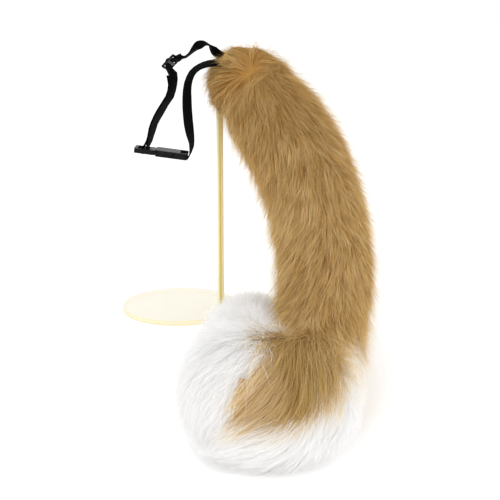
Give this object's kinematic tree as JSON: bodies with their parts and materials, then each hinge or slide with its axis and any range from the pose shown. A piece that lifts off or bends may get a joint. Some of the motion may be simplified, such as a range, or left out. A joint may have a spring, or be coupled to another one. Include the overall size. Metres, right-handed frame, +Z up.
{
  "type": "costume fox tail with belt on a display stand",
  "caption": "Golden-brown costume fox tail with a white tip and a black buckled belt loop, on a clear acrylic display stand.",
  "frame": {"origin": "centre of the stand disc's underside, on the table", "axes": "+Z up; -Y towards the tail's turn, which lies on the table; +X to the side that the tail swings out to"},
  "size_m": [0.2754, 0.527, 0.316],
  "materials": {
    "brown_fur": "long pile",
    "white_fur": "long pile",
    "clear_acrylic": "polished",
    "black_webbing": "ribbed weave",
    "black_plastic": "satin"
  },
  "bodies": {
    "root": {"stand_base": "clear_acrylic", "stand_rod": "clear_acrylic", "tail_fur_brown": "brown_fur", "tail_fur_white": "white_fur", "belt_webbing": "black_webbing", "buckle_plug": "black_plastic", "buckle_socket": "black_plastic", "belt_slider": "black_plastic"}
  },
  "joints": []
}
